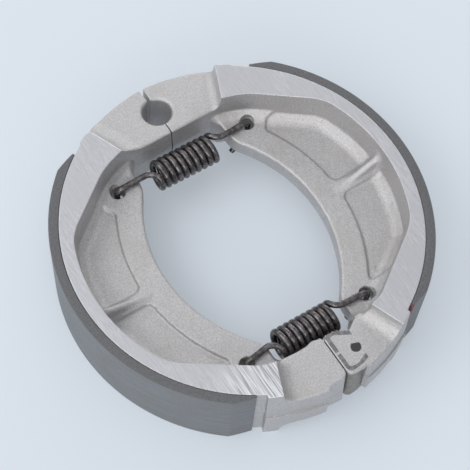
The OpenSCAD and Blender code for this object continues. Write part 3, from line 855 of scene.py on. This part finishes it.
def friction(name, painted):
    mat, nt, bsdf = material(name)
    n = Nodes(nt)
    az = n.math("ABSOLUTE", n.z)
    top = n.span(az, HALF_W - 0.1, HALF_W - 0.03)
    blend = n.noise(1.6, 4, 0.7)
    flecks = n.span(n.cells(1.15), 0.2, 0.1)
    rare = n.span(n.noise(1.9, 1, 0.5), 0.66, 0.72)
    flecks = n.math("MULTIPLY", flecks, rare)
    lines = n.noise(1.0, 4, 0.7, n.turned(0, (0.05, 0.05, 5.0)))
    smear = n.noise(0.12, 3, 0.6)
    side = n.mix(n.span(blend, 0.3, 0.7), (0.083, 0.083, 0.088), (0.135, 0.135, 0.14))
    outer = n.mix(n.span(lines, 0.35, 0.65), (0.125, 0.135, 0.145), (0.18, 0.19, 0.205))
    outer = n.mix(n.span(smear, 0.4, 0.65, 0, 0.45), outer, (0.15, 0.145, 0.135))
    colour = n.mix(top, outer, side)
    colour = n.mix(n.math("MULTIPLY", flecks, 0.85), colour, (0.5, 0.49, 0.47))
    if painted:
        colour = red_paint(n, colour, 1.3, 0.85)
    n.feed(bsdf.inputs["Base Color"], colour)
    n.feed(bsdf.inputs["Roughness"], n.span(blend, 0.3, 0.7, 0.5, 0.66))
    bsdf.inputs["Metallic"].default_value = 0.0
    height = n.math("ADD", n.math("MULTIPLY", blend, 0.5), n.math("MULTIPLY", lines, 0.5))
    n.feed(bsdf.inputs["Normal"], n.bump(height, 0.5, 0.12))
    return mat


def spring_steel(name):
    mat, nt, bsdf = material(name)
    n = Nodes(nt)
    wear = n.noise(0.8, 4, 0.65)
    fine = n.noise(6.0, 3, 0.6)
    colour = n.mix(n.span(wear, 0.35, 0.7), (0.08, 0.073, 0.075), (0.21, 0.192, 0.194))
    n.feed(bsdf.inputs["Base Color"], colour)
    n.feed(bsdf.inputs["Roughness"], n.span(wear, 0.3, 0.7, 0.2, 0.32))
    bsdf.inputs["Metallic"].default_value = 0.85
    n.feed(bsdf.inputs["Normal"], n.bump(fine, 0.25, 0.05))
    return mat


def plate_steel(name):
    mat, nt, bsdf = material(name)
    n = Nodes(nt)
    cloud = n.noise(0.7, 4, 0.65)
    fine = n.noise(5.0, 3, 0.6)
    rolled = n.noise(1.0, 3, 0.6, n.turned(0, (2.4, 2.4, 0.12)))
    faces = n.mix(n.span(cloud, 0.35, 0.65), (0.23, 0.217, 0.20), (0.36, 0.338, 0.315))
    faces = n.mix(n.span(rolled, 0.45, 0.7, 0, 0.5), faces, (0.30, 0.28, 0.235))
    sheared = n.mix(n.span(cloud, 0.35, 0.65), (0.19, 0.183, 0.188), (0.31, 0.303, 0.31))
    az = n.math("ABSOLUTE", n.z)
    colour = n.mix(n.span(az, BOSS_H - 0.2, BOSS_H - 0.12), faces, sheared)
    n.feed(bsdf.inputs["Base Color"], colour)
    n.feed(bsdf.inputs["Roughness"], n.span(cloud, 0.3, 0.7, 0.36, 0.5))
    bsdf.inputs["Metallic"].default_value = 0.85
    n.feed(bsdf.inputs["Normal"], n.bump(n.math("ADD", fine, rolled), 0.3, 0.06))
    return mat


# The object
right_shoe = shoe("right_casting", True, False)
left_shoe = shoe("left_casting", False, True)
for o, node, body, plated in ((right_shoe, "right_shoe", "right", True),
                              (left_shoe, "left_shoe", "left", False)):
    o.data.materials.append(alloy(node + "_alloy", plated))
    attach(o, body)
    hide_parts(node)

for name, node, body, turned in (("right_friction", "right_lining", "right", False),
                                 ("left_friction", "left_lining", "left", True)):
    o = lining(name, turned)
    o.data.materials.append(friction(node + "_friction", not turned))
    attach(o, body)
    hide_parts(node)

wire_steel = spring_steel("spring_steel")
for name, node, hole, coil in (("anchor_return_spring", "anchor_spring", HOLE_A, ANCHOR_COIL),
                               ("cam_return_spring", "cam_spring", HOLE_C, CAM_COIL)):
    o = wire(name, spring_path(hole, coil))
    o.data.materials.append(wire_steel)
    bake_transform(o)
    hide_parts(node)

o = nose_plate("wear_plate")
o.data.materials.append(plate_steel("wear_plate_steel"))
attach(o, "right")
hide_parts("cam_plate")


# Floor, light and camera
def floor():
    half, cells, z = 900, 23, -HALF_W - 0.02
    side = np.linspace(-half, half, cells + 1)
    verts = [(x * MM, (y - ANCHOR_Y) * MM, z * MM) for y in side for x in side]
    row = cells + 1
    faces = [(j * row + i, j * row + i + 1, (j + 1) * row + i + 1, (j + 1) * row + i)
             for j in range(cells) for i in range(cells)]
    mesh = bpy.data.meshes.new("floor")
    mesh.from_pydata(verts, [], faces)
    o = bpy.data.objects.new("floor", mesh)
    bpy.context.collection.objects.link(o)
    mat, nt, bsdf = material("floor_paint")
    bsdf.inputs["Base Color"].default_value = (0.43, 0.465, 0.50, 1)
    bsdf.inputs["Roughness"].default_value = 0.6
    bsdf.inputs["Specular IOR Level"].default_value = 0.25
    bsdf.inputs["Emission Color"].default_value = (0.89, 0.96, 1.05, 1)
    bsdf.inputs["Emission Strength"].default_value = 0.26
    mesh.materials.append(mat)


floor()

# The view fitted to the photograph: the object's turn, the camera's elevation and roll, its
# place along its own axes from the drum's centre, in millimetres, and its focal length in
# pixels of a picture of PHOTO_W by PHOTO_W
VIEW_TURN, VIEW_UP, VIEW_ROLL = 38.20763, 62.51398, -5.59740
VIEW_X, VIEW_Y, VIEW_Z = -1.0403, 7.4648, 405.6575
FOCAL_PX, PHOTO_W, SENSOR_W = 1394.108, 470, 36


def axes_of(turn, elevation, roll):
    """A camera's axes in the drum's frame."""
    turn, elevation, roll = (math.radians(a) for a in (turn, elevation, roll))
    right = Vector((1, 0, 0))
    up = Vector((0, math.sin(elevation), math.cos(elevation)))
    back = Vector((0, -math.cos(elevation), math.sin(elevation)))
    x = math.cos(roll) * right - math.sin(roll) * up
    y = math.sin(roll) * right + math.cos(roll) * up
    spin = Matrix.Rotation(-turn, 3, "Z")
    return spin @ x, spin @ y, spin @ back


def camera():
    cam_x, cam_y, cam_z = axes_of(VIEW_TURN, VIEW_UP, VIEW_ROLL)
    place = VIEW_X * cam_x + VIEW_Y * cam_y + VIEW_Z * cam_z
    data = bpy.data.cameras.new("camera")
    data.sensor_width = SENSOR_W
    data.lens = SENSOR_W * FOCAL_PX / PHOTO_W
    data.clip_start = 0.01
    o = bpy.data.objects.new("camera", data)
    m = Matrix((cam_x, cam_y, cam_z)).transposed().to_4x4()
    m.translation = (place - Vector((0, ANCHOR_Y, HALF_W))) * MM
    o.matrix_world = m
    bpy.context.collection.objects.link(o)
    bpy.context.scene.camera = o


camera()


def toward(right, away, up):
    """A direction given as the camera sees the floor."""
    x, y, z = axes_of(VIEW_TURN, 0, 0)
    return (right * x - away * z + up * y).normalized()


def area(name, direction, distance, size, watts, colour):
    """A soft light that stands in the direction and faces the object."""
    data = bpy.data.lights.new(name, "AREA")
    data.shape = "RECTANGLE"
    data.size, data.size_y = size
    data.energy = watts
    data.color = colour
    o = bpy.data.objects.new(name, data)
    at = Vector((0, -ANCHOR_Y * MM, 0)) + direction * distance
    facing = direction.to_track_quat("Z", "Y").to_matrix().to_4x4()
    o.matrix_world = Matrix.Translation(at) @ facing
    bpy.context.collection.objects.link(o)


area("key_light", toward(-0.7, -0.2, 0.85), 0.9, (0.6, 0.4), 1.45, (1.0, 0.985, 0.97))
area("front_light", toward(0.1, -0.85, 0.52), 0.9, (0.6, 0.4), 1.75, (1.0, 0.99, 0.98))
area("back_light", toward(0.1, 0.9, 0.3), 0.9, (0.9, 0.4), 2.3, (1.0, 0.99, 0.98))


def studio(bright_side):
    """A soft tent of light, brighter on one side."""
    world = bpy.data.worlds.new("studio")
    world.use_nodes = True
    nt = world.node_tree
    co = nt.nodes.new("ShaderNodeTexCoord")
    dot = nt.nodes.new("ShaderNodeVectorMath")
    dot.operation = "DOT_PRODUCT"
    dot.inputs[1].default_value = bright_side
    nt.links.new(co.outputs["Generated"], dot.inputs[0])
    span = nt.nodes.new("ShaderNodeMapRange")
    span.interpolation_type = "SMOOTHSTEP"
    span.inputs["From Min"].default_value = -0.5
    span.inputs["From Max"].default_value = 1.0
    nt.links.new(dot.outputs["Value"], span.inputs["Value"])
    mix = nt.nodes.new("ShaderNodeMix")
    mix.data_type = "RGBA"
    nt.links.new(span.outputs["Result"], mix.inputs[0])
    mix.inputs[6].default_value = (0.40, 0.413, 0.435, 1)
    mix.inputs[7].default_value = (1.10, 1.125, 1.16, 1)
    nt.links.new(mix.outputs[2], nt.nodes["Background"].inputs["Color"])
    bpy.context.scene.world = world


studio(toward(-0.75, -0.5, 0.45))
bpy.context.scene.view_settings.view_transform = "Standard"
